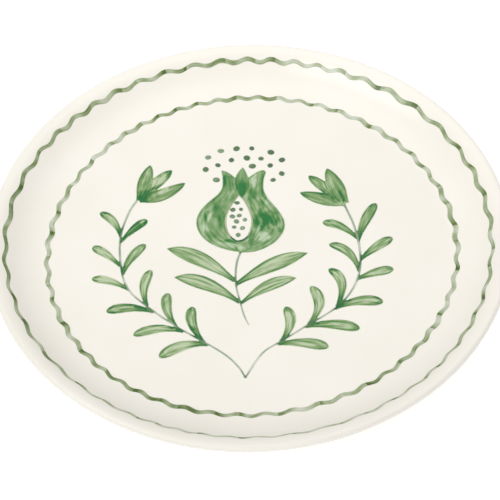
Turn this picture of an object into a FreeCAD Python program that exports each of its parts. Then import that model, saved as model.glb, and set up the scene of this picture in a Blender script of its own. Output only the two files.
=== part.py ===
"""Hand painted ceramic plate: a fired clay body, its cream glaze and its green brush strokes.

Millimetres, +Z up. The origin is the centre of the foot ring's resting face, and +Y points to
the top of the painted motif. Every brush stroke is a thin solid of its own that lies on the glaze.
"""
import os

import FreeCAD
import Part
from math import asin, atan2, cos, hypot, pi, radians, sin, tan

Vector = FreeCAD.Vector

# ---- plate ----
plate_radius = 135.0            # to the outermost point of the lip
floor_thickness = 5.0           # glaze to glaze, at the well and along the wall
wall_bend_radius = 32.8         # curve from the well's floor into the wall
wall_slope = radians(39.0)      # straight part of the wall, from the horizontal
wall_run = 4.0                  # how far outwards the straight part goes
crown_radius = 14.0             # the wall rolls over into the rim on this radius
lip_tilt = radians(12.0)        # slope that is left where the lip's round edge begins
lip_radius = 2.1

# ---- foot ring ----
foot_height = 3.0               # from the table to the plate's glazed underside
foot_inset = 16.0               # from the well's edge in to the ring's outer side
foot_width = 8.0
foot_fillet = 1.2
foot_round = 0.8
bare_height = 1.0               # the glaze stops this high above the table

# ---- glaze and paint ----
glaze_thickness = 0.3
paint_thickness = 0.2

# ---- wavy lines ----
outer_line_inset = 9.4          # from the lip's outermost point in to the line's middle
inner_line_offset = 4.2         # from the well's edge out to the line's middle
outer_line_width = 2.1
inner_line_width = 2.7
wave_height = 0.75              # from the middle of the line to a crest
points_per_wave = 6
film_margin = 3.0               # degrees of spare paint film either side of a stroke, cut away

# A wavy line's wander and wobble are sums of (size, lobes, turn) waves, as a free hand makes them.
# wander moves the line in and out in millimetres; wobble shifts its waves along, in radians.
OUTER_LINE = {"width": outer_line_width, "waves": 50, "start": 4.9, "strokes": 17,
              "wander": [(0.35, 1, 3.1), (0.39, 3, -2.6)],
              "wobble": [(3.0, 2, 3.1), (0.8, 3, 0.8), (0.8, 4, 2.0), (0.9, 6, -1.7), (0.5, 1, 2.5)]}
INNER_LINE = {"width": inner_line_width, "waves": 54, "start": 4.0, "strokes": 15,
              "wander": [(0.95, 1, 0.3), (0.65, 2, -1.2), (0.41, 3, 0.7)],
              "wobble": [(2.2, 1, -2.2), (1.1, 2, 3.0), (1.1, 3, 1.3), (0.6, 4, 3.1)]}

# How the brush's pressure widens and narrows both lines, as (share, lobes, turn) waves.
LINE_PRESSURE = [(0.10, 9, 0), (0.06, 23, 1)]

# ---- motif ----
layout_radius = 102.0           # well radius that the motif's points below are drawn for
stem_width = 1.5
centre_stem_taper = 0.7         # width at the centre stem's lower end, against stem_width
branch_stem_taper = 0.8         # width where a branch's stem starts, against stem_width
stem_stations = 28
leaf_stations = 9
leaf_bleed = 0.25               # the paint runs this far past the brush on either side
rind_bleed = 0.3                # the same round the fruit
leaf_crowding = 1.6             # stations of a leaf lie this much closer towards its tip
leaf_hollow = 1.45              # how far a leaf stays narrow before it swells
pollen_radius = 1.9
seed_radius = 1.55
dot_squeeze = 0.9               # short against long axis of a dot
dot_unevenness = 0.12
dot_size_turn = 2.4             # radians from one dot's size to the next one's
dot_turn = 50                   # degrees from one dot's axis to the next one's
pocket_line_width = 1.2

# ---- derived ----
crown_run = crown_radius * (sin(wall_slope) - sin(lip_tilt))
lip_run = lip_radius * (1 + sin(lip_tilt))
wall_bend_run = wall_bend_radius * sin(wall_slope)
well_radius = plate_radius - lip_run - crown_run - wall_run - wall_bend_run
motif_scale = well_radius / layout_radius
well_height = foot_height + floor_thickness
foot_outer = well_radius - foot_inset
foot_inner = foot_outer - foot_width


# ---- profile of the plate, as points (radius, height) ----

def on_circle(centre, radius, angle):
    """Point on the side of a circle that faces away from a slope of the given angle."""
    return (centre[0] + radius * sin(angle), centre[1] - radius * cos(angle))


def line(start, end):
    return Part.LineSegment(Vector(start[0], 0, start[1]), Vector(end[0], 0, end[1])).toShape()


def arc(start, middle, end):
    points = [Vector(p[0], 0, p[1]) for p in (start, middle, end)]
    return Part.Arc(*points).toShape()


def arc_about(centre, radius, first, last):
    """Arc about a centre between two slope angles of on_circle."""
    ends = [on_circle(centre, radius, angle) for angle in (first, (first + last) / 2, last)]
    return arc(*ends)


bend_centre = (well_radius, well_height + wall_bend_radius)
wall_foot = on_circle(bend_centre, wall_bend_radius, wall_slope)
wall_top = (wall_foot[0] + wall_run, wall_foot[1] + wall_run * tan(wall_slope))
crown_centre = on_circle(wall_top, crown_radius, wall_slope)
lip_centre = on_circle(crown_centre, crown_radius - lip_radius, lip_tilt + pi)

# The underside is the line that touches both the bend, thickened by the wall, and the lip.
centre_step = (lip_centre[0] - bend_centre[0], lip_centre[1] - bend_centre[1])
radius_step = wall_bend_radius + floor_thickness - lip_radius
under_slope = atan2(centre_step[1], centre_step[0]) + asin(radius_step / hypot(*centre_step))


def top_edges(depth):
    """Well, wall and rim up to the lip, at a depth below the glaze's surface."""
    bend = wall_bend_radius + depth
    crown = crown_radius - depth
    height = well_height - depth
    bend_end = on_circle(bend_centre, bend, wall_slope)
    crown_start = on_circle(crown_centre, crown, wall_slope + pi)
    return [line((0, height), (well_radius, height)),
            arc_about(bend_centre, bend, 0, wall_slope),
            line(bend_end, crown_start),
            arc_about(crown_centre, crown, wall_slope + pi, lip_tilt + pi)]


def outside_edges(depth):
    """Lip, underside and the foot ring's outer side down to where the glaze stops."""
    lip = lip_radius - depth
    bend = wall_bend_radius + floor_thickness - depth
    height = foot_height + depth
    side = foot_outer - depth
    fillet_centre = (foot_outer + foot_fillet, foot_height - foot_fillet)
    fillet = foot_fillet + depth
    return [arc_about(lip_centre, lip, lip_tilt + pi, under_slope),
            line(on_circle(lip_centre, lip, under_slope), on_circle(bend_centre, bend, under_slope)),
            arc_about(bend_centre, bend, under_slope, 0),
            line((well_radius, height), (fillet_centre[0], height)),
            arc_about(fillet_centre, fillet, pi, 1.5 * pi),
            line((side, fillet_centre[1]), (side, bare_height))]


def inside_edges(depth):
    """The foot ring's inner side, from where the glaze stops, and the underside to the axis."""
    height = foot_height + depth
    side = foot_inner + depth
    fillet_centre = (foot_inner - foot_fillet, foot_height - foot_fillet)
    fillet = foot_fillet + depth
    return [line((side, bare_height), (side, fillet_centre[1])),
            arc_about(fillet_centre, fillet, 0.5 * pi, pi),
            line((fillet_centre[0], height), (0, height))]


def spline(points):
    curve = Part.BSplineCurve()
    curve.interpolate(points)
    return curve.toShape()


def revolved(edges):
    """Solid of revolution of a closed outline about the plate's axis."""
    face = Part.Face(Part.Wire(edges))
    return face.revolve(Vector(0, 0, 0), Vector(0, 0, 1), 360)


def clay_body():
    outer_side = foot_outer - glaze_thickness
    inner_side = foot_inner + glaze_thickness
    outer_round = (outer_side - foot_round, foot_round)
    inner_round = (inner_side + foot_round, foot_round)
    edges = top_edges(glaze_thickness) + outside_edges(glaze_thickness)
    edges += [line((outer_side, bare_height), (outer_side, foot_round)),
              arc_about(outer_round, foot_round, pi / 2, 0),
              line((outer_round[0], 0), (inner_round[0], 0)),
              arc_about(inner_round, foot_round, 0, -pi / 2),
              line((inner_side, foot_round), (inner_side, bare_height))]
    edges += inside_edges(glaze_thickness)
    edges += [line((0, foot_height + glaze_thickness), (0, well_height - glaze_thickness))]
    return revolved(edges)


def glaze_layer(surface, back, first, last):
    """Glaze between its surface and the clay, closed at the two ends of the layer."""
    return revolved(surface + [line(*first)] + back[::-1] + [line(*last)])


def glaze_coat():
    """One glaze coat from the middle of the well over the lip to the foot ring's outer side."""
    stop = [(foot_outer, bare_height), (foot_outer - glaze_thickness, bare_height)]
    axis = [(0, well_height - glaze_thickness), (0, well_height)]
    surface = top_edges(0) + outside_edges(0)
    back = top_edges(glaze_thickness) + outside_edges(glaze_thickness)
    return glaze_layer(surface, back, stop, axis)


def foot_well_glaze():
    """The glaze inside the foot ring."""
    axis = [(0, foot_height), (0, foot_height + glaze_thickness)]
    stop = [(foot_inner + glaze_thickness, bare_height), (foot_inner, bare_height)]
    return glaze_layer(inside_edges(0), inside_edges(glaze_thickness), axis, stop)


# ---- wavy lines ----

def ring_radius(mean, hand, angle):
    """Middle of a hand drawn wavy line at an angle around the plate."""
    wander = sum(size * cos(lobes * angle + turn) for size, lobes, turn in hand["wander"])
    wobble = sum(size * sin(lobes * angle + turn) for size, lobes, turn in hand["wobble"])
    return mean + wander + wave_height * sin(hand["waves"] * angle + hand["start"] + wobble)


def ring_width(hand, angle):
    pressure = sum(share * sin(lobes * angle + turn) for share, lobes, turn in LINE_PRESSURE)
    return hand["width"] * (1 + pressure)


def stroke_prism(mean, hand, start, end):
    """Upright prism over one brush stroke of a wavy line, between two angles, higher than the lip."""
    steps = round(hand["waves"] * points_per_wave * (end - start) / (2 * pi))
    sides = []
    for side in (-1, 1):
        points = []
        for step in range(steps + 1):
            angle = start + (end - start) * step / steps
            radius = ring_radius(mean, hand, angle) + side * ring_width(hand, angle) / 2
            points.append(Vector(radius * cos(angle), radius * sin(angle), 0))
        sides.append(points)
    inner, outer = sides
    edges = [spline(inner), Part.LineSegment(inner[-1], outer[-1]).toShape(),
             spline(outer[::-1]), Part.LineSegment(outer[0], inner[0]).toShape()]
    return Part.Face(Part.Wire(edges)).extrude(Vector(0, 0, 2 * lip_centre[1]))


def film_section():
    """Section of the paint's thickness over the whole top of the plate."""
    surface = top_edges(-paint_thickness)
    back = top_edges(0)
    end = [on_circle(crown_centre, crown_radius + depth, lip_tilt + pi) for depth in (paint_thickness, 0)]
    axis = [(0, well_height), (0, well_height + paint_thickness)]
    return Part.Face(Part.Wire(surface + [line(*end)] + back[::-1] + [line(*axis)]))


def wavy_line(mean, hand):
    """A wavy line all the way round, drawn in brush strokes that meet end to end."""
    section = film_section()
    sweep = 360 / hand["strokes"]
    films = []
    for number in range(hand["strokes"]):
        start = number * sweep
        film = section.copy()
        film.rotate(Vector(0, 0, 0), Vector(0, 0, 1), start - film_margin)
        film = film.revolve(Vector(0, 0, 0), Vector(0, 0, 1), sweep + 2 * film_margin)
        films.append(film.common(stroke_prism(mean, hand, radians(start), radians(start + sweep))))
    return Part.makeCompound(films)


# ---- brush strokes on the well's floor ----
# Their points are (x, y) in the layout of layout_radius.

ROUND_TIP = 0.5                 # power that closes a stroke's width at its tip
BLUNT_TIP = 0.68
POINTED_TIP = 0.85

# How the brush was pressed: share of the length where a stroke is widest, width at its base
# against the widest, and the power that closes its tip.
BRANCH_LEAF = (0.72, 0.36, ROUND_TIP)
CENTRE_LEAF = (0.58, 0.26, POINTED_TIP)
PETAL = (0.47, 0.46, BLUNT_TIP)


def on_floor(point):
    return Vector(point[0] * motif_scale, point[1] * motif_scale, well_height)


def patch(edges):
    """Painted area of the well's floor inside a closed outline."""
    return Part.Face(Part.Wire(edges))


def paint(patches):
    """Strokes of paint of the same thickness, one solid on each patch."""
    return Part.makeCompound([area.extrude(Vector(0, 0, paint_thickness)) for area in patches])


def outline(*sides):
    """Closed outline of curved sides, each through its own points, that meet in corners."""
    return [spline([on_floor(point) for point in side]) for side in sides]


def dot(centre, radius, turn):
    """A dot of paint, a little oval."""
    long_axis = radius * motif_scale
    ellipse = Part.Ellipse(on_floor(centre), long_axis, long_axis * dot_squeeze)
    area = patch([ellipse.toShape()])
    area.rotate(on_floor(centre), Vector(0, 0, 1), turn)
    return area


def dots(centres, radius):
    """Dots of paint of uneven size, each turned its own way."""
    areas = []
    for number, centre in enumerate(centres):
        size = radius * (1 + dot_unevenness * sin(dot_size_turn * number))
        areas.append(dot(centre, size, dot_turn * number))
    return paint(areas)


def stroke_sides(spine, half_width):
    """Left and right side of a stroke along a spine, with half_width(share) along its length."""
    last = len(spine) - 1
    left = []
    right = []
    for index, point in enumerate(spine):
        ahead = spine[min(index + 1, last)] - spine[max(index - 1, 0)]
        across = Vector(-ahead.y, ahead.x, 0).normalize() * half_width(index / last) * motif_scale
        left.append(point + across)
        right.append(point - across)
    return left, right


def leaf(base, middle, tip, width, press=BRANCH_LEAF):
    """One brush pressed leaf that starts at base, passes through middle and ends at tip."""
    fullness, base_share, tip_power = press
    full_half = width / 2 + leaf_bleed
    bend = [2 * m - (b + t) / 2 for b, m, t in zip(base, middle, tip)]

    def spine_point(share):
        weights = ((1 - share) ** 2, 2 * share * (1 - share), share ** 2)
        return on_floor([sum(w * p for w, p in zip(weights, axis)) for axis in zip(base, bend, tip)])

    def station_share(step_share):
        return 1 - (1 - step_share) ** leaf_crowding

    def half_width(step_share):
        share = station_share(step_share)
        if share < fullness:
            swell = sin(pi / 2 * share / fullness) ** leaf_hollow
            return full_half * (base_share + (1 - base_share) * swell)
        ending = (share - fullness) / (1 - fullness)
        return full_half * (1 - ending ** 2) ** tip_power

    spine = [spine_point(station_share(step / leaf_stations)) for step in range(leaf_stations + 1)]
    left, right = stroke_sides(spine, half_width)
    around = left[:-1] + [spine[-1]] + right[-2::-1]
    return patch([spline(around), Part.LineSegment(right[0], left[0]).toShape()])


def stem(points, start_width, end_width):
    """A thin drawn line with blunt ends."""
    curve = Part.BSplineCurve()
    curve.interpolate([on_floor(point) for point in points])
    length = curve.length()
    spine = []
    for step in range(stem_stations + 1):
        spine.append(curve.value(curve.parameterAtDistance(length * step / stem_stations)))

    def half_width(share):
        return (start_width + (end_width - start_width) * share) / 2

    left, right = stroke_sides(spine, half_width)
    ends = [Part.LineSegment(left[-1], right[-1]).toShape(), Part.LineSegment(right[0], left[0]).toShape()]
    return patch([spline(left), ends[0], spline(right[::-1]), ends[1]])


def bare_part(area, *others):
    """The largest face of a patch that none of the other patches covers."""
    for other in others:
        area = area.cut(other)
    return max(area.Faces, key=lambda face: face.Area)


# ---- pomegranate ----
CROWN_LEFT = [(-14.2, 54.0), (-11.0, 52.8), (-7.0, 49.0), (-3.5, 46.0)]
CROWN_RIGHT = [(-3.5, 46.0), (0.3, 48.6), (4.5, 52.0), (8.7, 53.3), (9.8, 51.2)]
RIND_RIGHT = [(9.8, 51.2), (8.5, 46.5), (8.6, 38.0), (12.2, 30.5), (17.0, 22.0), (18.6, 14.5),
              (16.2, 7.6), (10.0, 1.2), (2.0, -2.4), (-4.5, -2.6)]
RIND_LEFT = [(-4.5, -2.6), (-13.0, -0.2), (-20.5, 4.0), (-26.0, 11.0), (-27.6, 18.8), (-25.0, 27.0),
             (-19.0, 34.2), (-15.0, 38.8), (-13.5, 46.0), (-14.2, 54.0)]
SEPAL_LEFT = [(-3.6, 34.4), (-6.0, 40.5), (-6.9, 46.5), (-5.2, 52.5), (-2.4, 56.2)]
SEPAL_RIGHT = [(-2.4, 56.2), (-0.6, 52.0), (0.5, 45.5), (-1.0, 38.5), (-3.6, 34.4)]
POCKET_LEFT = [(-5.0, 35.6), (-8.3, 30.0), (-10.9, 24.0), (-11.8, 17.5), (-10.6, 10.6), (-6.6, 5.6)]
POCKET_RIGHT = [(-6.6, 5.6), (-2.6, 7.0), (0.2, 12.5), (1.0, 19.0), (-0.4, 26.2), (-2.6, 32.0),
                (-5.0, 35.6)]
POCKET_MIDDLE = (-5.4, 18.5)

SEEDS = [(-6.0, 31.0), (-8.3, 26.3), (-4.1, 26.5), (-8.7, 21.7), (-5.1, 22.2), (-2.2, 19.2),
         (-6.6, 18.2), (-7.9, 14.4), (-3.6, 13.6), (-5.9, 9.0)]
POLLEN = [(-14.1, 68.0), (-5.6, 69.4), (2.6, 69.3), (12.8, 66.1), (-21.0, 63.6), (-8.5, 61.3),
          (-0.2, 62.5), (7.4, 61.8), (18.6, 60.4), (-22.4, 55.1), (-15.8, 57.9), (2.6, 56.6),
          (12.2, 56.7), (18.2, 50.7), (-16.8, 47.6), (13.4, 46.4)]

CENTRE_STEM = [(-4.6, -2.2), (-6.8, -8.5), (-7.7, -16.0), (-7.6, -25.0), (-6.0, -34.0), (-4.2, -43.0),
               (-1.6, -50.2)]
CENTRE_LEAVES = [((-7.7, -23.7), (11.0, -11.8), (30.0, -4.3), 9.0),
                 ((-8.2, -21.5), (-25.8, -6.5), (-43.2, 1.3), 9.4),
                 ((-5.2, -36.0), (9.1, -25.2), (23.6, -20.7), 7.2),
                 ((-6.0, -35.6), (-23.2, -22.8), (-39.5, -17.9), 8.4)]

# ---- branches: stem, leaves as (base, middle, tip, width), petals likewise ----
LEFT_STEM = [(-4.2, -83.2), (-12.6, -69.8), (-22.5, -61.6), (-38.5, -49.8), (-53.5, -36.2),
             (-63.0, -25.0), (-67.2, -8.0), (-67.6, 8.0), (-64.8, 22.0), (-58.6, 35.4)]
LEFT_LEAVES = [((-22.6, -61.8), (-35.2, -62.1), (-47.1, -69.1), 6.6),
               ((-34.8, -53.2), (-47.5, -50.9), (-60.3, -54.9), 5.6),
               ((-50.0, -40.2), (-62.6, -36.9), (-74.1, -39.3), 5.8),
               ((-62.9, -25.2), (-72.7, -19.2), (-82.1, -17.7), 5.0),
               ((-67.4, -9.4), (-75.2, -0.9), (-82.2, 3.7), 5.2),
               ((-67.4, 10.6), (-71.4, 20.7), (-78.6, 27.2), 5.0),
               ((-24.6, -60.2), (-30.5, -47.9), (-29.7, -37.4), 5.4),
               ((-38.5, -49.9), (-43.2, -38.2), (-42.3, -28.0), 5.4),
               ((-53.3, -36.0), (-55.0, -23.6), (-51.1, -12.6), 5.2),
               ((-65.9, -15.0), (-61.7, -4.2), (-54.2, 4.7), 5.2),
               ((-67.3, 6.6), (-60.0, 15.9), (-53.3, 21.1), 4.9)]
LEFT_PETALS = [((-57.8, 34.6), (-54.9, 47.0), (-52.0, 59.4), 7.6),
               ((-57.9, 35.2), (-46.0, 38.2), (-33.4, 46.1), 8.0),
               ((-57.4, 36.4), (-47.5, 47.8), (-40.4, 55.3), 6.6)]

RIGHT_STEM = [(-4.2, -83.2), (-0.5, -76.4), (6.6, -66.4), (13.6, -61.6), (28.0, -51.4), (43.0, -40.7),
              (51.5, -30.0), (56.6, -15.0), (57.0, -2.0), (54.9, 13.0), (50.4, 27.9)]
RIGHT_LEAVES = [((12.6, -62.6), (26.3, -62.5), (38.2, -65.7), 6.4),
                ((27.0, -52.2), (41.3, -51.2), (54.4, -54.8), 6.4),
                ((42.4, -41.2), (55.2, -36.7), (67.2, -38.3), 6.4),
                ((54.4, -22.6), (64.3, -18.5), (73.9, -16.6), 5.6),
                ((57.0, -9.8), (65.6, -1.7), (74.6, 4.3), 5.6),
                ((56.6, 3.0), (60.7, 15.9), (67.4, 28.2), 5.6),
                ((14.2, -61.2), (19.4, -49.6), (17.0, -39.1), 5.6),
                ((28.6, -50.9), (34.5, -37.9), (30.5, -26.3), 5.8),
                ((43.6, -40.0), (46.6, -24.6), (40.2, -15.4), 5.4),
                ((56.0, -17.4), (51.0, -4.6), (41.1, 0.9), 5.2),
                ((56.2, 4.6), (47.4, 13.3), (38.4, 15.5), 5.4)]
RIGHT_PETALS = [((51.4, 28.4), (46.7, 40.4), (42.4, 53.5), 8.8),
                ((51.4, 28.4), (39.8, 32.0), (27.3, 37.0), 8.0),
                ((51.0, 29.6), (39.5, 41.3), (32.4, 48.7), 6.2)]


def spread(points, width):
    """Points of an outline round the pocket of seeds, moved outwards from the pocket's middle."""
    moved = []
    for x, y in points:
        reach = hypot(x - POCKET_MIDDLE[0], y - POCKET_MIDDLE[1])
        grown = 1 + width / reach
        moved.append((POCKET_MIDDLE[0] + (x - POCKET_MIDDLE[0]) * grown,
                      POCKET_MIDDLE[1] + (y - POCKET_MIDDLE[1]) * grown))
    return moved


def pomegranate():
    """Patches of the rind, the middle sepal and the line around the pocket of seeds."""
    pocket = patch(outline(POCKET_LEFT, POCKET_RIGHT))
    around = [spread(side, pocket_line_width) for side in (POCKET_LEFT, POCKET_RIGHT)]
    pocket_line = patch(outline(*around))
    sepal = bare_part(patch(outline(SEPAL_LEFT, SEPAL_RIGHT)), pocket_line)
    sides = [spread(side, rind_bleed) for side in (CROWN_LEFT, CROWN_RIGHT, RIND_RIGHT, RIND_LEFT)]
    rind = patch(outline(*sides))
    return bare_part(rind, sepal, pocket_line), sepal, bare_part(pocket_line, pocket)


def centre_sprig(rind):
    """Patches of the centre stem and of the leaves on it."""
    twig = bare_part(stem(CENTRE_STEM, stem_width, centre_stem_taper * stem_width), rind)
    leaves = [leaf(*stroke, press=CENTRE_LEAF) for stroke in CENTRE_LEAVES]
    return twig, [bare_part(blade, twig) for blade in leaves]


def branch(stem_points, leaves, petals, *others):
    """Patches of a branch: its stem, its leaves and the petals of the flower at its end."""
    twig = bare_part(stem(stem_points, branch_stem_taper * stem_width, stem_width), *others)
    blades = [bare_part(leaf(*stroke), twig) for stroke in leaves]
    first, second, third = [leaf(*stroke, press=PETAL) for stroke in petals]
    flower = [bare_part(first, twig), bare_part(second, twig, first), bare_part(third, twig, first, second)]
    return twig, blades, flower


def all_nodes():
    rind, sepal, pocket_line = pomegranate()
    centre_stem, centre_leaves = centre_sprig(rind)
    left_stem, left_leaves, left_flower = branch(LEFT_STEM, LEFT_LEAVES, LEFT_PETALS)
    right_stem, right_leaves, right_flower = branch(RIGHT_STEM, RIGHT_LEAVES, RIGHT_PETALS, left_stem)
    return {"clay_body": clay_body(),
            "glaze_coat": glaze_coat(),
            "foot_well_glaze": foot_well_glaze(),
            "outer_wavy_line": wavy_line(plate_radius - outer_line_inset, OUTER_LINE),
            "inner_wavy_line": wavy_line(well_radius + inner_line_offset, INNER_LINE),
            "pomegranate_rind": paint([rind]),
            "pomegranate_sepal": paint([sepal]),
            "pomegranate_pocket_line": paint([pocket_line]),
            "pomegranate_seeds": dots(SEEDS, seed_radius),
            "pomegranate_pollen": dots(POLLEN, pollen_radius),
            "centre_stem": paint([centre_stem]),
            "centre_leaves": paint(centre_leaves),
            "left_stem": paint([left_stem]),
            "left_leaves": paint(left_leaves),
            "left_flower": paint(left_flower),
            "right_stem": paint([right_stem]),
            "right_leaves": paint(right_leaves),
            "right_flower": paint(right_flower)}


os.makedirs("parts", exist_ok=True)
for name, shape in all_nodes().items():
    shape.exportStep("parts/" + name + ".step")
    print(name, len(shape.Solids), "solids", round(shape.Volume, 1), "mm3", shape.isValid())
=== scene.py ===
"""Looks of the hand painted ceramic plate: cream glaze over clay, and green brush strokes on it.

Metres, in the frame's own axes: +Z up, +Y to the top of the motif. The glaze is turned again from
its CAD section, a little uneven as a hand made plate is. Each brush stroke is laid on it inside the
outline of its own CAD solid, and carries how thick its paint is at every point.
"""

import math
import random

import bpy
import numpy as np
from mathutils import Matrix, Vector, noise
from mathutils.bvhtree import BVHTree
from mathutils.geometry import delaunay_2d_cdt


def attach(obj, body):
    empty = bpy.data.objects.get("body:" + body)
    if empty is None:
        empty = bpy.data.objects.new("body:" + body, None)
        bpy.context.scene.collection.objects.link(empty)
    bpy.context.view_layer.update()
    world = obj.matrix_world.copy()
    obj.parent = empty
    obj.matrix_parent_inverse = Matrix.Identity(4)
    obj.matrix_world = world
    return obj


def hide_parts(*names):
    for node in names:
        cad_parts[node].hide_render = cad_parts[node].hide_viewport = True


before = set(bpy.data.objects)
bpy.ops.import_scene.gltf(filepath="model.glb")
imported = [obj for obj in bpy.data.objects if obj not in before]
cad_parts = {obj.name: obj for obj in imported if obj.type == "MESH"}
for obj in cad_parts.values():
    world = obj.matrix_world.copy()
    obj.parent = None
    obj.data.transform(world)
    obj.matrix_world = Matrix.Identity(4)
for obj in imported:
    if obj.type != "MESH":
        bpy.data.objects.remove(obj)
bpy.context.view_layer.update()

MM = 0.001
rng = random.Random(7)

# ---- camera ----
CAMERA_DISTANCE = 1.215
CAMERA_ELEVATION = math.radians(50.92)
CAMERA_ROLL = math.radians(-1.68)
CAMERA_LENS = 168.2
CAMERA_OFFSET = (0.08 * MM, -0.94 * MM)    # sideways and upwards, in the picture's own directions

# ---- light ----
WORLD_LIGHT = 0.73
FLOOR_GLOW = 0.3
# Panels as (way to it, way of its long side, distance, long side, short side, level, seen in gloss).
# level is what a panel adds to a white face turned to it.
PANELS = {"window": ((-0.556, -0.333, 0.755), (-0.77, 0.58, -0.24), 3.0, 2.2, 0.85, 0.305, True),
          "front": ((0.0, -0.80, 0.60), (1.0, 0.0, 0.0), 5.0, 3.6, 2.0, 0.24, True),
          "top": ((0.0, 0.35, 0.94), (1.0, 0.0, 0.0), 0.50, 0.4, 0.3, 0.465, False)}
LIGHT_LEVEL = 1.40                         # what a level white face sends back, against its albedo
SHEEN = 0.035                              # what the glaze's gloss adds to every colour
FLOOR_REACH = 6.0

# ---- plate ----
TURN_STEPS = 400
FINE_STEP = 1.0 * MM
FLOOR_STEP = 3.0 * MM
STRAIGHT_SPAN = 4.0 * MM                   # a longer span of the section is straight
ON_CLAY = 0.15 * MM                        # a corner of the glaze nearer to the clay is its inner side
SWELL = 0.045 * MM                         # unevenness of the glazed surface
SWELL_WAVES = 14
NORMAL_STEP = 0.05 * MM
SPECULAR = 0.38
CREAM_ROUGHNESS = 0.25

# ---- paint ----
FILM_EDGE = 0.02 * MM                      # how proud the paint stands at its edge
FILM_RISE = 0.04 * MM                      # how much more it stands inside
FILM_ROOT = 0.05 * MM                      # how deep its rim reaches into the glaze
EDGE_REACH = 0.7 * MM
PATCH_STEP = 0.42 * MM
EDGE_SAMPLE = 0.15 * MM
TOUCHING = 0.3 * MM                        # strokes nearer than this have run together
RING_STEPS = 2400
RING_ACROSS = 10
BRUSH_LOADS = 44                           # times the brush is filled on a line's way round
# How far in from its edge the paint is thin enough to show the cream under it.
LINE_FADE = 0.12 * MM
LEAF_FADE = 0.12 * MM
STEM_FADE = 0.3 * MM
POCKET_FADE = 0.2 * MM
SEED_FADE = 0.15 * MM
POLLEN_FADE = 0.1 * MM
# Width and length of the bristles' streaks.
FINE_BRISTLES = (0.35 * MM, 6 * MM)
WIDE_BRISTLES = (1.2 * MM, 7 * MM)


# ---- helpers ----

def smooth(low, high, value):
    share = np.clip((value - low) / (high - low), 0.0, 1.0)
    return share * share * (3 - 2 * share)


def linear(level):
    level /= 255
    return level / 12.92 if level <= 0.04045 else ((level + 0.055) / 1.055) ** 2.4


def pigment(red, green, blue):
    """Albedo that the scene's light shows as this colour on a level glossy face."""
    return tuple(max(0.0, (linear(level) - SHEEN) / LIGHT_LEVEL) for level in (red, green, blue)) + (1.0,)


def new_object(name, verts, faces):
    mesh = bpy.data.meshes.new(name)
    mesh.from_pydata([tuple(v) for v in verts], [], [tuple(f) for f in faces])
    mesh.polygons.foreach_set("use_smooth", [True] * len(mesh.polygons))
    mesh.update()
    obj = bpy.data.objects.new(name, mesh)
    bpy.context.scene.collection.objects.link(obj)
    return obj


def set_numbers(obj, name, values):
    attribute = obj.data.attributes.new(name, "FLOAT", "POINT")
    attribute.data.foreach_set("value", np.asarray(values, np.float32))


def set_vectors(obj, name, values):
    attribute = obj.data.attributes.new(name, "FLOAT_VECTOR", "POINT")
    attribute.data.foreach_set("vector", np.asarray(values, np.float32).ravel())


def add_piece(obj, slot, *nodes):
    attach(obj, "root")
    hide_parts(*nodes)


# ---- the plate's surface ----

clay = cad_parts["clay_body"].data
clay_tree = BVHTree.FromPolygons([v.co for v in clay.vertices], [p.vertices[:] for p in clay.polygons])


def glaze_section(node):
    """Air side of a turned glaze node as (radius, height), outwards over the lip and back inwards."""
    facing = {}
    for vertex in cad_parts[node].data.vertices:
        x, y, z = vertex.co
        if x > 0 and abs(y) < 1e-6 and clay_tree.find_nearest(vertex.co)[3] > ON_CLAY:
            key = (round(x, 6), round(z, 6))
            facing[key] = facing.get(key, 0) + vertex.normal.z
    top = sorted(key for key in facing if facing[key] > 0)
    under = sorted((key for key in facing if facing[key] <= 0), key=lambda key: (-key[0], -key[1]))
    return [(0.0, top[0][1])] + top + under


def section_tangents(points):
    """Direction of a section at each point; a long span is straight and keeps its own direction."""
    steps = np.diff(points, axis=0)
    lengths = np.hypot(*steps.T)
    ways = steps / lengths[:, None]
    tangents = [ways[0]]
    for before, after, way_in, way_out in zip(lengths, lengths[1:], ways, ways[1:]):
        if before > STRAIGHT_SPAN:
            tangent = way_in
        elif after > STRAIGHT_SPAN:
            tangent = way_out
        else:
            tangent = way_in * after + way_out * before
        tangents.append(tangent / np.hypot(*tangent))
    tangents.append(ways[-1])
    return lengths, tangents


def fine_section(points):
    """The section as closely spaced points on a smooth curve through the CAD ones."""
    points = np.array(points)
    lengths, tangents = section_tangents(points)
    fine = [points[0]]
    for index, length in enumerate(lengths):
        start, end = points[index], points[index + 1]
        level = abs(start[1] - end[1]) < 1e-7
        count = math.ceil(length / (FLOOR_STEP if level else FINE_STEP))
        for step in range(1, count + 1):
            t = step / count
            fine.append(start * (2 * t ** 3 - 3 * t ** 2 + 1) + end * (3 * t ** 2 - 2 * t ** 3)
                        + length * (tangents[index] * (t ** 3 - 2 * t ** 2 + t)
                                    + tangents[index + 1] * (t ** 3 - t ** 2)))
    return np.array(fine)


coarse = glaze_section("glaze_coat")
section = fine_section(coarse)
lip_index = int(np.argmax(section[:, 0]))
lip_radius = section[lip_index, 0]
well_height = section[0, 1]
well_radius = max(r for r, z in coarse if abs(z - well_height) < 1e-6)
foot_radius = section[-1, 0]

swell_waves = []
for number in range(SWELL_WAVES):
    way = rng.uniform(0, 2 * math.pi)
    pitch = 2 * math.pi / rng.uniform(0.035, 0.12)
    swell_waves.append((pitch * math.cos(way), pitch * math.sin(way), rng.uniform(0, 2 * math.pi)))


def swell(x, y):
    """How far a hand made plate's glaze rises or dips from the true section."""
    total = sum(np.sin(kx * x + ky * y + phase) for kx, ky, phase in swell_waves)
    return SWELL * total * math.sqrt(2 / SWELL_WAVES)


def surface_height(x, y):
    radius = np.hypot(x, y)
    return np.interp(radius, section[:lip_index, 0], section[:lip_index, 1]) + swell(x, y)


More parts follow.
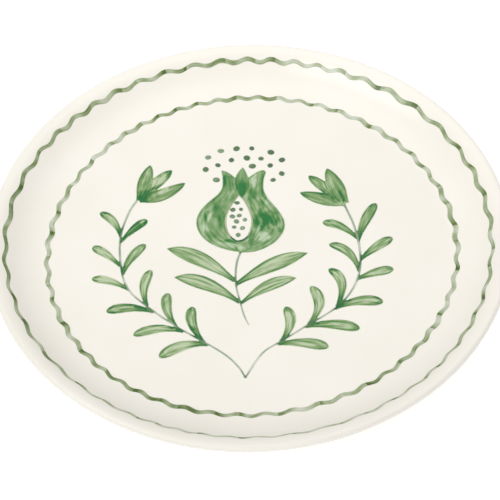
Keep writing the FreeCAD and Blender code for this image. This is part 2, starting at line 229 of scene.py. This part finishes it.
def surface_normal(x, y):
    step = NORMAL_STEP
    slope_x = (surface_height(x + step, y) - surface_height(x - step, y)) / (2 * step)
    slope_y = (surface_height(x, y + step) - surface_height(x, y - step)) / (2 * step)
    normal = np.stack([-slope_x, -slope_y, np.ones_like(slope_x)], axis=-1)
    return normal / np.linalg.norm(normal, axis=-1, keepdims=True)


def on_surface(x, y, rise):
    """Points over or under the glaze's surface, along its normal."""
    base = np.stack([x, y, surface_height(x, y)], axis=-1)
    return base + surface_normal(x, y) * np.asarray(rise)[..., None]


def turned(points):
    """Vertices and faces of a section turned round the axis; its first point is on the axis."""
    angles = np.arange(TURN_STEPS) * 2 * math.pi / TURN_STEPS
    verts = []
    for index, (radius, height) in enumerate(points):
        x, y = radius * np.cos(angles), radius * np.sin(angles)
        share = 1.0 if index <= lip_index else smooth(foot_radius, well_radius, radius)
        z = height + swell(x, y) * share
        if index == 0:
            verts.append((0, 0, z[0]))
        else:
            verts.extend(zip(x, y, z))
    faces = [(0, 1 + step, 1 + (step + 1) % TURN_STEPS) for step in range(TURN_STEPS)]
    for ring in range(len(points) - 2):
        first = 1 + ring * TURN_STEPS
        for step in range(TURN_STEPS):
            after = (step + 1) % TURN_STEPS
            faces.append((first + step, first + TURN_STEPS + step, first + TURN_STEPS + after, first + after))
    return verts, faces


# ---- materials ----

CREAM = pigment(250, 246, 237)


def new_material(name, roughness):
    material = bpy.data.materials.new(name)
    material.use_nodes = True
    tree = material.node_tree
    shader = tree.nodes["Principled BSDF"]
    shader.inputs["Roughness"].default_value = roughness
    shader.inputs["Specular IOR Level"].default_value = SPECULAR
    return material, tree, shader


def noise_node(tree, scale, detail, vector=None):
    node = tree.nodes.new("ShaderNodeTexNoise")
    node.inputs["Scale"].default_value = scale
    node.inputs["Detail"].default_value = detail
    if vector is None:
        vector = tree.nodes.new("ShaderNodeTexCoord").outputs["Object"]
    tree.links.new(vector, node.inputs["Vector"])
    return node.outputs["Fac"]


def ramp_node(tree, factor, stops):
    ramp = tree.nodes.new("ShaderNodeValToRGB")
    elements = ramp.color_ramp.elements
    while len(elements) < len(stops):
        elements.new(0.5)
    for element, (place, colour) in zip(elements, stops):
        element.position = place
        element.color = colour
    tree.links.new(factor, ramp.inputs["Fac"])
    return ramp.outputs["Color"]


def attribute_node(tree, name, output):
    node = tree.nodes.new("ShaderNodeAttribute")
    node.attribute_name = name
    return node.outputs[output]


def cream_material():
    """Glossy cream glaze, faintly clouded."""
    material, tree, shader = new_material("cream_glaze", CREAM_ROUGHNESS)
    clouds = noise_node(tree, 28, 4)
    colour = ramp_node(tree, clouds, [(0.3, pigment(247, 243, 233)), (0.7, CREAM)])
    tree.links.new(colour, shader.inputs["Base Color"])
    return material


def clay_material():
    material, tree, shader = new_material("bare_clay", 0.85)
    grain = noise_node(tree, 900, 5)
    colour = ramp_node(tree, grain, [(0.3, pigment(196, 172, 146)), (0.7, pigment(222, 202, 178))])
    tree.links.new(colour, shader.inputs["Base Color"])
    return material


def paint_material(name, stops, streak):
    """Glazed green paint: its shade follows how thick it lies, with fine bristle streaks."""
    material, tree, shader = new_material(name, CREAM_ROUGHNESS)
    bristles = noise_node(tree, 1.0, 3, attribute_node(tree, "bristle", "Vector"))
    spread = tree.nodes.new("ShaderNodeMapRange")
    spread.inputs["From Min"].default_value = 0.3
    spread.inputs["From Max"].default_value = 0.7
    spread.inputs["To Min"].default_value = -streak
    spread.inputs["To Max"].default_value = streak
    tree.links.new(bristles, spread.inputs["Value"])
    total = tree.nodes.new("ShaderNodeMath")
    total.operation = "ADD"
    tree.links.new(attribute_node(tree, "load", "Fac"), total.inputs[0])
    tree.links.new(spread.outputs["Result"], total.inputs[1])
    shade = ramp_node(tree, total.outputs["Value"], stops)
    cover = tree.nodes.new("ShaderNodeMix")
    cover.data_type = "RGBA"
    tree.links.new(attribute_node(tree, "cover", "Fac"), cover.inputs["Factor"])
    for socket in cover.inputs:
        if socket.type == "RGBA" and socket.name == "A":
            socket.default_value = CREAM
        if socket.type == "RGBA" and socket.name == "B":
            tree.links.new(shade, socket)
    mixed = next(socket for socket in cover.outputs if socket.type == "RGBA")
    tree.links.new(mixed, shader.inputs["Base Color"])
    return material


LINE_GREEN = paint_material("line_green", [(0.0, pigment(208, 212, 196)), (0.35, pigment(172, 184, 151)),
                                           (0.7, pigment(130, 148, 103)), (1.0, pigment(90, 114, 64))], 0.16)
RIND_GREEN = paint_material("rind_green", [(0.0, pigment(190, 210, 178)), (0.35, pigment(148, 175, 130)),
                                           (0.7, pigment(107, 148, 94)), (1.0, pigment(62, 126, 76))], 0.22)
PALE_GREEN = paint_material("pale_green", [(0.0, pigment(214, 222, 196)), (0.5, pigment(180, 194, 152)),
                                           (1.0, pigment(58, 104, 76))], 0.12)
DOT_GREEN = paint_material("dot_green", [(0.0, pigment(158, 178, 148)), (0.5, pigment(110, 137, 104)),
                                         (1.0, pigment(74, 104, 76))], 0.10)
STEM_GREEN = paint_material("stem_green", [(0.0, pigment(206, 214, 196)), (0.4, pigment(158, 176, 150)),
                                           (0.75, pigment(112, 142, 110)), (1.0, pigment(68, 114, 78))], 0.18)
LEAF_GREEN = paint_material("leaf_green", [(0.0, pigment(196, 210, 176)), (0.35, pigment(146, 172, 124)),
                                           (0.7, pigment(104, 144, 90)), (1.0, pigment(60, 120, 74))], 0.25)
CREAM_GLAZE = cream_material()
BARE_CLAY = clay_material()


# ---- outlines of the CAD strokes ----

def top_edges(node):
    """Directed edges round the upward faces of each CAD face of a node, grouped by connected face."""
    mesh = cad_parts[node].data
    group = list(range(len(mesh.vertices)))

    def root(index):
        while group[index] != index:
            group[index] = group[group[index]]
            index = group[index]
        return index

    edges = set()
    for face in mesh.polygons:
        if face.normal.z < 0.5:
            continue
        corners = list(face.vertices)
        for start, end in zip(corners, corners[1:] + corners[:1]):
            group[root(start)] = root(end)
            if (end, start) in edges:
                edges.remove((end, start))
            else:
                edges.add((start, end))
    grouped = {}
    for start, end in edges:
        grouped.setdefault(root(start), {})[start] = end
    place = [np.array(vertex.co[:2]) for vertex in mesh.vertices]
    return grouped, place


def patches(node):
    """Painted areas of a node on the well's floor, each a list of closed outlines, largest first."""
    grouped, place = top_edges(node)
    areas = []
    for following in grouped.values():
        outlines = []
        while following:
            start = next(iter(following))
            loop = []
            corner = start
            while corner in following:
                loop.append(place[corner])
                corner = following.pop(corner)
            outlines.append(np.array(loop))
        outlines.sort(key=lambda loop: -np.ptp(loop, axis=0).sum())
        areas.append(outlines)
    areas.sort(key=lambda outlines: tuple(outlines[0].mean(axis=0)))
    return areas


def nearest_on(points, line, closed):
    """Distance from each point to a polyline, and how far along the line its nearest place is."""
    ends = np.roll(line, -1, axis=0) if closed else line[1:]
    starts = line if closed else line[:-1]
    spans = ends - starts
    lengths = np.maximum(np.hypot(*spans.T), 1e-9)
    offset = points[:, None, :] - starts[None]
    share = np.clip((offset * spans).sum(-1) / lengths ** 2, 0, 1)
    gap = np.linalg.norm(offset - share[..., None] * spans, axis=-1)
    best = gap.argmin(axis=1)
    rows = np.arange(len(points))
    travelled = np.concatenate([[0], np.cumsum(lengths)])
    return gap[rows, best], travelled[best] + share[rows, best] * lengths[best]


def inside(points, outlines):
    """Which points lie inside the first outline and outside the others."""
    crossings = np.zeros(len(points), int)
    for loop in outlines:
        ends = np.roll(loop, -1, axis=0)
        for (ax, ay), (bx, by) in zip(loop, ends):
            spans = (ay > points[:, 1]) != (by > points[:, 1])
            if spans.any():
                x = ax + (points[:, 1] - ay) * (bx - ax) / ((by - ay) or 1e-12)
                crossings += spans & (points[:, 0] < x)
    return crossings % 2 == 1


def filled(outlines, spacing):
    """Mesh of a flat patch: its outline, evenly divided, and points spread inside it."""
    loops = []
    for loop in outlines:
        ends = np.roll(loop, -1, axis=0)
        dense = []
        for start, end in zip(loop, ends):
            count = max(1, round(np.hypot(*(end - start)) / spacing))
            dense.extend(start + (end - start) * step / count for step in range(count))
        loops.append(np.array(dense))
    low, high = outlines[0].min(axis=0), outlines[0].max(axis=0)
    rows = np.arange(low[1], high[1], spacing * 0.866)
    grid = [(x + (spacing / 2 if number % 2 else 0), y)
            for number, y in enumerate(rows) for x in np.arange(low[0], high[0], spacing)]
    grid = np.array(grid)
    grid = grid[inside(grid, outlines)]
    gaps = np.min([nearest_on(grid, loop, True)[0] for loop in outlines], axis=0)
    grid = grid[gaps > 0.45 * spacing]
    points = np.concatenate(loops + [grid])
    edges = []
    first = 0
    for loop in loops:
        edges += [(first + step, first + (step + 1) % len(loop)) for step in range(len(loop))]
        first += len(loop)
    kind = 4 if len(loops) > 1 else 1          # which faces come back: around holes, or inside one outline
    scale = 1000.0                              # works on millimetres, which suit its tolerance
    result = delaunay_2d_cdt([Vector(p * scale) for p in points], edges, [], kind, 1e-5)
    verts = np.array([tuple(v) for v in result[0]]) / scale
    faces = [tuple(face) for face in result[2]]
    if len(outlines) > 1:
        middles = np.array([verts[list(face)].mean(axis=0) for face in faces])
        faces = [face for face, kept in zip(faces, inside(middles, outlines)) if kept]
        used = sorted({corner for face in faces for corner in face})
        place = {corner: number for number, corner in enumerate(used)}
        verts = verts[used]
        faces = [tuple(place[corner] for corner in face) for face in faces]
    return verts, faces


def with_rim(x, y, rise, faces):
    """Vertices and faces of a film of paint, with a rim round it that reaches into the glaze."""
    counts = {}
    for face in faces:
        for start, end in zip(face, face[1:] + face[:1]):
            if (end, start) in counts:
                del counts[(end, start)]
            else:
                counts[(start, end)] = True
    rim = sorted({corner for edge in counts for corner in edge})
    lowered = {corner: len(x) + number for number, corner in enumerate(rim)}
    top = on_surface(x, y, rise)
    low = on_surface(x[rim], y[rim], np.full(len(rim), -FILM_ROOT))
    sides = [(start, lowered[start], lowered[end], end) for start, end in counts]
    return np.concatenate([top, low]), faces + sides, rim


def value_noise(x, y, seed):
    """Soft random pattern between about -1 and 1."""
    return np.array([noise.noise(Vector((a, b, seed))) for a, b in zip(x, y)]) * 2


def edge_samples():
    """Points along the outlines of all the floor's strokes, and the stroke that each belongs to."""
    places, owners = [], []
    for node, areas in FLOOR_PATCHES.items():
        for number, outlines in enumerate(areas):
            for loop in outlines:
                for start, end in zip(loop, np.roll(loop, -1, axis=0)):
                    count = max(1, round(np.hypot(*(end - start)) / EDGE_SAMPLE))
                    places.extend(start + (end - start) * step / count for step in range(count))
                    owners.extend([node + str(number)] * count)
    return np.array(places), np.array(owners)


def free_gap(points, owner):
    """Distance to the nearest part of a stroke's own outline that doesn't lie against another stroke."""
    own = EDGE_PLACES[EDGE_OWNERS == owner]
    near = (EDGE_PLACES > own.min(axis=0) - MM) & (EDGE_PLACES < own.max(axis=0) + MM)
    others = EDGE_PLACES[near.all(axis=1) & (EDGE_OWNERS != owner)]
    if len(others):
        own = own[np.linalg.norm(own[:, None] - others[None], axis=-1).min(axis=1) > TOUCHING]
    if not len(own):
        return np.full(len(points), MM)
    return np.linalg.norm(points[:, None] - own[None], axis=-1).min(axis=1)


class Stroke:
    """A patch of paint with its places along and across the brush's way, and to its edge."""

    def __init__(self, outlines, owner, home):
        self.verts, self.faces = filled(outlines, PATCH_STEP)
        loop = outlines[0]
        self.edge = np.min([nearest_on(self.verts, line, True)[0] for line in outlines], axis=0)
        self.free = free_gap(self.verts, owner)
        base = int(np.linalg.norm(loop - home, axis=1).argmin())
        tip = int(np.linalg.norm(loop - loop[base], axis=1).argmax())
        loop = np.roll(loop, -base, axis=0)
        tip = (tip - base) % len(loop)
        left = loop[:tip + 1]
        right = np.concatenate([loop[tip:], loop[:1]])[::-1]
        left_gap, left_way = nearest_on(self.verts, left, False)
        right_gap, right_way = nearest_on(self.verts, right, False)
        left_length = np.hypot(*np.diff(left, axis=0).T).sum()
        right_length = np.hypot(*np.diff(right, axis=0).T).sum()
        self.length = (left_length + right_length) / 2
        self.across = left_gap / np.maximum(left_gap + right_gap, 1e-9)
        self.along = (left_way / left_length + right_way / right_length) / 2
        self.width = 2 * self.edge.max()
        self.seed = rng.uniform(0, 100)
        self.luck = [rng.uniform(-1, 1) for number in range(4)]

    def bristle(self, streak_width, streak_length):
        """Coordinates for the material's streaks, which run along the brush's way."""
        return np.stack([self.across * self.width / streak_width,
                         self.along * self.length / streak_length,
                         np.full(len(self.verts), self.seed)], axis=1)


def strokes_of(node, homes):
    """Strokes of a node, each starting at the home point that is nearest to it."""
    made = []
    for number, outlines in enumerate(FLOOR_PATCHES[node]):
        gaps = np.linalg.norm(outlines[0][:, None] - np.array(homes)[None], axis=-1).min(axis=0)
        made.append(Stroke(outlines, node + str(number), homes[gaps.argmin()]))
    return made


def lay(name, node, homes, density_of, material, slot, fade, streaks):
    """One object of all the strokes of a node."""
    verts, faces, density, cover, bristle = [], [], [], [], []
    first = 0
    for stroke in strokes_of(node, homes):
        rise = FILM_EDGE + FILM_RISE * smooth(0, EDGE_REACH, stroke.edge)
        points, cells, rim = with_rim(stroke.verts[:, 0], stroke.verts[:, 1], rise, stroke.faces)
        verts.append(points)
        faces += [tuple(first + corner for corner in cell) for cell in cells]
        first += len(points)
        own_density = density_of(stroke)
        own_cover = smooth(-0.3 * fade, fade, stroke.free)
        own_bristle = stroke.bristle(*streaks)
        density.append(np.concatenate([own_density, own_density[rim]]))
        cover.append(np.concatenate([own_cover, own_cover[rim]]))
        bristle.append(np.concatenate([own_bristle, own_bristle[rim]]))
    obj = new_object(name, np.concatenate(verts), faces)
    obj.data.materials.append(material)
    set_numbers(obj, "load", np.concatenate(density))
    set_numbers(obj, "cover", np.concatenate(cover))
    set_vectors(obj, "bristle", np.concatenate(bristle))
    add_piece(obj, slot, node)


# ---- how thick the paint lies ----

def streaked(stroke, lanes, lengthwise):
    """Streaks that run along the stroke: so many lanes across, each this long."""
    return value_noise(stroke.across * lanes, stroke.along * stroke.length / lengthwise, stroke.seed)


def outlined(stroke, fringe, outline, inset=0.75 * MM):
    """A pale fringe where the paint ran out, and a darker line just inside it."""
    pale = 1 - smooth(0.1 * MM, 0.6 * MM, stroke.free)
    return outline * np.exp(-((stroke.free - inset) / (0.38 * MM)) ** 2) - fringe * pale


def pooled(stroke, pools):
    """Pools and bare places at set places of the motif."""
    x, y = stroke.verts[:, 0] / MM, stroke.verts[:, 1] / MM
    ragged = 0.35 * value_noise(x / 2.2, y / 3.5, stroke.seed)
    total = np.zeros(len(x))
    for pool_x, pool_y, wide, high, turn, strength in pools:
        tilt = math.radians(turn)
        u = ((x - pool_x) * math.cos(tilt) + (y - pool_y) * math.sin(tilt)) / wide
        v = ((y - pool_y) * math.cos(tilt) - (x - pool_x) * math.sin(tilt)) / high
        total += strength * (1 - smooth(0.5, 1.4, np.hypot(u, v) + ragged))
    return total


# Pools and bare places as (x, y, half width, half height, turn, strength), in mm and degrees.
LEAF_POOLS = [(-60, 16, 7, 6, 0, 0.5), (-72, 20, 6, 7, 0, -0.2), (-76, -1, 7, 5, 0, -0.2),
              (-72, -19, 7, 5, 0, -0.15)]
PETAL_POOLS = [(-55.5, 37, 7, 4.5, 30, 0.4), (-56, 36, 3.5, 2.5, 20, 0.15), (-47, 49, 3, 5.5, -40, -0.36),
               (-45, 41.5, 3.5, 1.3, 35, -0.4), (-49, 43.5, 4, 0.9, 30, 0.35), (-53, 54, 1.2, 4, 0, -0.2),
               (47, 33.5, 6.5, 4.5, -30, 0.28), (49, 28.5, 3, 1.4, 0, -0.4), (40, 35.5, 6, 1.6, -35, 0.3),
               (37.5, 43.5, 1, 4, 40, -0.25)]
POLLEN_POOLS = [(-21.4, 63, 3, 3, 0, -0.4), (-15.3, 67.7, 3, 3, 0, -0.4), (9, 67, 3, 3, 0, -0.2),
                (-17, 49, 3, 3, 0, -0.3), (10.5, 49, 3, 3, 0, -0.3), (0.2, 57.5, 2.5, 2.5, 0, -0.25)]
SEED_POOLS = [(-6, 29, 5, 5, 0, 0.25), (-2.9, 19.8, 2, 2, 0, -0.25), (-4.2, 14.3, 2, 2, 0, -0.2)]
POCKET_POOLS = [(-7.5, 5.5, 7, 3, 0, 0.55)]
RIND_POOLS = [(8.5, 19, 6, 7, -35, 0.52), (2.5, 36.5, 2.6, 4.5, 0, 0.35), (6.5, 37, 1.2, 6, 0, 0.25),
              (-15.5, 25, 3, 8, 10, 0.3), (-20, 9.5, 4, 1.8, -35, 0.3), (-8, 5.2, 5, 1.2, 0, 0.45),
              (-22.5, 20, 0.9, 6, 12, 0.3), (15.6, 12, 1, 2.2, 0, 0.35), (7.9, 49, 1.2, 5, 0, 0.35),
              (0.8, 3.5, 1.2, 4, 0, 0.3), (-12, 49, 1.2, 4, 0, 0.2), (-12.5, 12, 1.2, 5, 10, 0.2),
              (3.2, 46, 1.8, 4.5, 0, -0.42), (7.5, 8, 4, 2.6, 30, -0.4), (-24, 18, 0.8, 8, 0, -0.35),
              (-20.3, 24, 0.7, 6, -15, -0.25), (-8.5, 38.5, 1, 4.5, -25, -0.35), (11, 30, 2.2, 6, 15, -0.2),
              (-9, 1.8, 6, 1.3, -15, -0.3), (4.5, 26, 1, 5, 5, -0.15), (-11, 47, 3, 6, 0, 0.15)]


def leaf_density(stroke):
    """Pools at the edge, the base and the tip, with a paler way down the middle."""
    base_pool = 1 - smooth(0.0, 0.4, stroke.along)
    tip_pool = smooth(0.82, 0.95, stroke.along)
    middle = 0.5 + 0.15 * stroke.luck[0]
    pale = np.exp(-((stroke.across - middle) / 0.12) ** 2) * smooth(0.15, 0.45, stroke.along)
    return (0.375 + 0.10 * stroke.luck[1] + outlined(stroke, 0.3, 0.25) + 0.46 * base_pool
            + (0.25 + 0.15 * stroke.luck[2]) * tip_pool - 0.26 * pale
            + 0.32 * streaked(stroke, 6, 9 * MM) + pooled(stroke, LEAF_POOLS))


def petal_density(stroke):
    tip_pool = smooth(0.75, 1.0, stroke.along)
    return (0.45 + outlined(stroke, 0.3, 0.25) + 0.25 * tip_pool
            + 0.24 * streaked(stroke, 5, 14 * MM) + pooled(stroke, PETAL_POOLS))


def centre_leaf_density(stroke):
    base_pool = 1 - smooth(0.02, 0.3, stroke.along)
    tip_pool = smooth(0.88, 1.0, stroke.along)
    return (0.27 + 0.06 * stroke.luck[1] + outlined(stroke, 0.3, 0.32) + 0.5 * base_pool
            + 0.25 * tip_pool + 0.34 * streaked(stroke, 7, 22 * MM))


def gap_to_leaves(stroke):
    """Distance from each point of a stroke to the nearest outline of a leaf."""
    leaves = EDGE_PLACES[np.array(["leaves" in owner for owner in EDGE_OWNERS])]
    return np.array([np.hypot(*(leaves - point).T).min() for point in stroke.verts])


def stem_density(stroke):
    """A thin line, darker where the leaves' wet paint ran into it and where the branches meet."""
    node_pool = np.exp(-(gap_to_leaves(stroke) / (0.9 * MM)) ** 2)
    joint_pool = 1 - smooth(0.02, 0.05, stroke.along)
    return 0.30 + 0.3 * streaked(stroke, 1, 8 * MM) + 0.6 * node_pool + 0.4 * joint_pool


def dot_density(mean, pools):
    """Density of small dots of paint, a little darker at their rims."""
    def density(stroke):
        rim_pool = 1 - smooth(0, 0.5 * MM, stroke.edge)
        return mean + 0.08 * stroke.luck[0] + 0.2 * rim_pool + pooled(stroke, pools)
    return density


def pocket_density(stroke):
    return 0.42 + 0.35 * np.exp(-(stroke.edge / (0.25 * MM)) ** 2) + pooled(stroke, POCKET_POOLS)


def rind_density(stroke):
    """A loose wash, with its pools and bare places drawn out along the fruit's sides."""
    x, y = stroke.verts[:, 0] / MM, stroke.verts[:, 1] / MM
    wash = value_noise(x / 3.2, y / 5.5, stroke.seed + 3)
    return (0.43 + outlined(stroke, 0.4, 0.22, 0.9 * MM) + pooled(stroke, RIND_POOLS)
            + 0.16 * wash + 0.18 * streaked(stroke, 12, 14 * MM))


def sepal_density(stroke):
    return 0.95 - 0.42 * smooth(0.35, 0.75, stroke.along) + 0.15 * streaked(stroke, 4, 8 * MM)


# ---- wavy lines ----

def ring_sides(node):
    """Inner and outer radius of a wavy line at evenly spaced angles."""
    grouped, place = top_edges(node)
    inner = np.full(RING_STEPS, np.inf)
    outer = np.zeros(RING_STEPS)
    for following in grouped.values():
        for start, end in following.items():
            radii = [np.hypot(*place[corner]) for corner in (start, end)]
            angles = [math.atan2(place[corner][1], place[corner][0]) for corner in (start, end)]
            turn = (angles[1] - angles[0] + math.pi) % (2 * math.pi) - math.pi
            if abs(turn) < 1e-5:
                continue
            low, high = sorted((angles[0], angles[0] + turn))
            first = math.ceil(low * RING_STEPS / (2 * math.pi))
            last = math.floor(high * RING_STEPS / (2 * math.pi))
            for step in range(first, last + 1):
                share = (step * 2 * math.pi / RING_STEPS - angles[0]) / turn
                radius = radii[0] + (radii[1] - radii[0]) * share
                inner[step % RING_STEPS] = min(inner[step % RING_STEPS], radius)
                outer[step % RING_STEPS] = max(outer[step % RING_STEPS], radius)
    return inner, outer


# Where a line's paint lies thicker or thinner, as (degrees round from +X, half width, strength). The outer
# line's pale place at 68 degrees is a painted highlight: the paint is made thinner where the glaze's gloss
# washes over the line.
OUTER_ACCENTS_AND_HIGHLIGHT = [(178, 30, 0.15), (95, 18, 0.08), (68, 12, -0.3), (270, 45, -0.25), (0, 20, -0.05)]
INNER_ACCENTS = [(315, 14, 0.2), (240, 38, 0.28), (335, 8, -0.2), (65, 25, -0.15), (112, 12, 0.18),
                 (140, 14, -0.12)]


def ring_grid(node):
    """Angle, radius, share of the width and distance to the edge of a wavy line's points, and its faces."""
    inner, outer = ring_sides(node)
    shares = np.linspace(0, 1, RING_ACROSS + 1)
    wide = len(shares)
    angle = np.repeat(np.arange(RING_STEPS) * 2 * math.pi / RING_STEPS, wide)
    share = np.tile(shares, RING_STEPS)
    low, high = np.repeat(inner, wide), np.repeat(outer, wide)
    edge = np.minimum(share, 1 - share) * (high - low)
    faces = []
    for step in range(RING_STEPS):
        here, after = step * wide, (step + 1) % RING_STEPS * wide
        for lane in range(RING_ACROSS):
            faces.append((here + lane, here + lane + 1, after + lane + 1, after + lane))
    return angle, low + (high - low) * share, share, edge, faces


def brush_loads(angle, mean_load, accents):
    """Paint left by a brush that is filled again and again, dark where it first touches."""
    starts = np.cumsum([0] + [rng.uniform(0.5, 1.5) for load in range(BRUSH_LOADS)])
    starts *= 2 * math.pi / starts[-1]
    number = np.clip(np.searchsorted(starts, angle, side="right") - 1, 0, BRUSH_LOADS - 1)
    part = (angle - starts[number]) / (starts[number + 1] - starts[number])
    full = np.array([rng.uniform(0.1, 0.4) for load in range(BRUSH_LOADS)])
    touch = np.array([rng.uniform(0.0, 0.38) for load in range(BRUSH_LOADS)])
    load = (mean_load - 0.14 + full[number] * (1 - smooth(0, 0.55, part))
            + touch[number] * (1 - smooth(0.06, 0.2, part)))
    # accents thicken or thin the load; on the outer line, the one at 68 degrees is a painted highlight
    for place, half_width, strength in accents:
        away = np.abs((np.degrees(angle) - place + 180) % 360 - 180)
        load += strength * (1 - smooth(0.4, 1.2, away / half_width))
    return load


def lay_ring(name, node, mean_load, accents):
    """A wavy line all the way round, as one film of paint with the load of each of its strokes."""
    angle, radius, share, edge, faces = ring_grid(node)
    rise = FILM_EDGE + FILM_RISE * smooth(0, EDGE_REACH, edge)
    verts, cells, rim = with_rim(radius * np.cos(angle), radius * np.sin(angle), rise, faces)
    load = brush_loads(angle, mean_load, accents)
    clouds = value_noise(angle * 20, share * 0.5, rng.uniform(0, 50))
    pool = np.exp(-(edge / (0.3 * MM)) ** 2)
    density = load + 0.22 * clouds + 0.08 * pool
    cover = smooth(-0.3 * LINE_FADE, LINE_FADE, edge)
    length = angle * lip_radius
    bristle = np.stack([share * 3, length / (5 * MM), np.full(len(angle), rng.uniform(0, 50))], axis=1)
    obj = new_object(name, verts, cells)
    obj.data.materials.append(LINE_GREEN)
    set_numbers(obj, "load", np.concatenate([density, density[rim]]))
    set_numbers(obj, "cover", np.concatenate([cover, cover[rim]]))
    set_vectors(obj, "bristle", np.concatenate([bristle, bristle[rim]]))
    add_piece(obj, "line_green", node)


# ---- build ----

FLOOR_PATCHES = {node: patches(node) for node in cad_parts
                 if node.split("_")[0] in ("left", "right", "centre", "pomegranate")}
EDGE_PLACES, EDGE_OWNERS = edge_samples()

plate_verts, plate_faces = turned(section)
plate = new_object("glaze", plate_verts, plate_faces)
plate.data.materials.append(CREAM_GLAZE)
add_piece(plate, "cream_glaze", "glaze_coat")
for node, material, slot in (("clay_body", BARE_CLAY, "bare_clay"),
                             ("foot_well_glaze", CREAM_GLAZE, "cream_glaze")):
    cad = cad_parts[node]
    cad.data.materials.clear()
    cad.data.materials.append(material)

lay_ring("outer_line", "outer_wavy_line", 0.52, OUTER_ACCENTS_AND_HIGHLIGHT)
lay_ring("inner_line", "inner_wavy_line", 0.42, INNER_ACCENTS)

V_JOINT = min(FLOOR_PATCHES["left_stem"][0][0], key=lambda point: point[1])
CROWN_TIP = max(FLOOR_PATCHES["pomegranate_sepal"][0][0], key=lambda point: point[1])

for side in ("left", "right"):
    stem_loop = FLOOR_PATCHES[side + "_stem"][0][0]
    stem_end = stem_loop[stem_loop[:, 1].argmax()]
    lay(side + "_twig", side + "_stem", [V_JOINT], stem_density,
        STEM_GREEN, "stem_green", STEM_FADE, FINE_BRISTLES)
    lay(side + "_leaf_strokes", side + "_leaves", stem_loop, leaf_density,
        LEAF_GREEN, "leaf_green", LEAF_FADE, FINE_BRISTLES)
    lay(side + "_petals", side + "_flower", [stem_end], petal_density,
        LEAF_GREEN, "leaf_green", LEAF_FADE, FINE_BRISTLES)

centre_loop = FLOOR_PATCHES["centre_stem"][0][0]
centre_top = centre_loop[centre_loop[:, 1].argmax()]
lay("centre_twig", "centre_stem", [centre_top], stem_density,
    STEM_GREEN, "stem_green", STEM_FADE, FINE_BRISTLES)
lay("centre_leaf_strokes", "centre_leaves", centre_loop, centre_leaf_density,
    LEAF_GREEN, "leaf_green", LEAF_FADE, FINE_BRISTLES)
lay("rind", "pomegranate_rind", [centre_top], rind_density,
    RIND_GREEN, "rind_green", LEAF_FADE, WIDE_BRISTLES)
lay("sepal", "pomegranate_sepal", [centre_top], sepal_density,
    RIND_GREEN, "rind_green", LEAF_FADE, FINE_BRISTLES)
lay("pocket_line", "pomegranate_pocket_line", [CROWN_TIP], pocket_density,
    PALE_GREEN, "pale_green", POCKET_FADE, FINE_BRISTLES)
lay("seeds", "pomegranate_seeds", [CROWN_TIP], dot_density(0.36, SEED_POOLS),
    DOT_GREEN, "dot_green", SEED_FADE, FINE_BRISTLES)
lay("pollen", "pomegranate_pollen", [CROWN_TIP], dot_density(0.66, POLLEN_POOLS),
    DOT_GREEN, "dot_green", POLLEN_FADE, FINE_BRISTLES)


# ---- studio ----

def make_camera():
    forward = Vector((0, math.cos(CAMERA_ELEVATION), -math.sin(CAMERA_ELEVATION)))
    level_right = Vector((1, 0, 0))
    level_up = level_right.cross(forward)
    right = level_right * math.cos(CAMERA_ROLL) + level_up * math.sin(CAMERA_ROLL)
    up = level_up * math.cos(CAMERA_ROLL) - level_right * math.sin(CAMERA_ROLL)
    data = bpy.data.cameras.new("camera")
    data.lens = CAMERA_LENS
    data.sensor_width = 36.0
    data.clip_start = 0.05
    data.clip_end = 50
    camera = bpy.data.objects.new("camera", data)
    bpy.context.scene.collection.objects.link(camera)
    place = Vector((0, 0, well_height)) - forward * CAMERA_DISTANCE
    camera.location = place + right * CAMERA_OFFSET[0] + up * CAMERA_OFFSET[1]
    camera.rotation_mode = "QUATERNION"
    camera.rotation_quaternion = Matrix((right, up, -forward)).transposed().to_quaternion()
    bpy.context.scene.camera = camera


def make_floor():
    corners = [(-FLOOR_REACH, -FLOOR_REACH, 0), (FLOOR_REACH, -FLOOR_REACH, 0),
               (FLOOR_REACH, FLOOR_REACH, 0), (-FLOOR_REACH, FLOOR_REACH, 0)]
    floor = new_object("floor", corners, [(0, 1, 2, 3)])
    material, tree, shader = new_material("floor_white", 0.9)
    shader.inputs["Base Color"].default_value = (0.9, 0.9, 0.9, 1)
    shader.inputs["Emission Color"].default_value = (1, 1, 1, 1)
    shader.inputs["Emission Strength"].default_value = FLOOR_GLOW
    floor.data.materials.append(material)


def make_light():
    world = bpy.data.worlds.new("world")
    world.use_nodes = True
    world.node_tree.nodes["Background"].inputs["Color"].default_value = (1, 1, 1, 1)
    world.node_tree.nodes["Background"].inputs["Strength"].default_value = WORLD_LIGHT
    bpy.context.scene.world = world
    for name, (way, side, distance, length, height, level, glossy) in PANELS.items():
        data = bpy.data.lights.new(name, "AREA")
        data.shape = "RECTANGLE"
        data.size = length
        data.size_y = height
        data.energy = level * math.pi ** 2 * distance ** 2
        panel = bpy.data.objects.new(name, data)
        bpy.context.scene.collection.objects.link(panel)
        back = Vector(way).normalized()
        across = (Vector(side) - back * back.dot(Vector(side))).normalized()
        turn = Matrix((across, back.cross(across), back)).transposed()
        panel.location = back * distance
        panel.rotation_mode = "QUATERNION"
        panel.rotation_quaternion = turn.to_quaternion()
        panel.visible_glossy = glossy


make_camera()
make_floor()
make_light()
bpy.context.scene.view_settings.view_transform = "Standard"
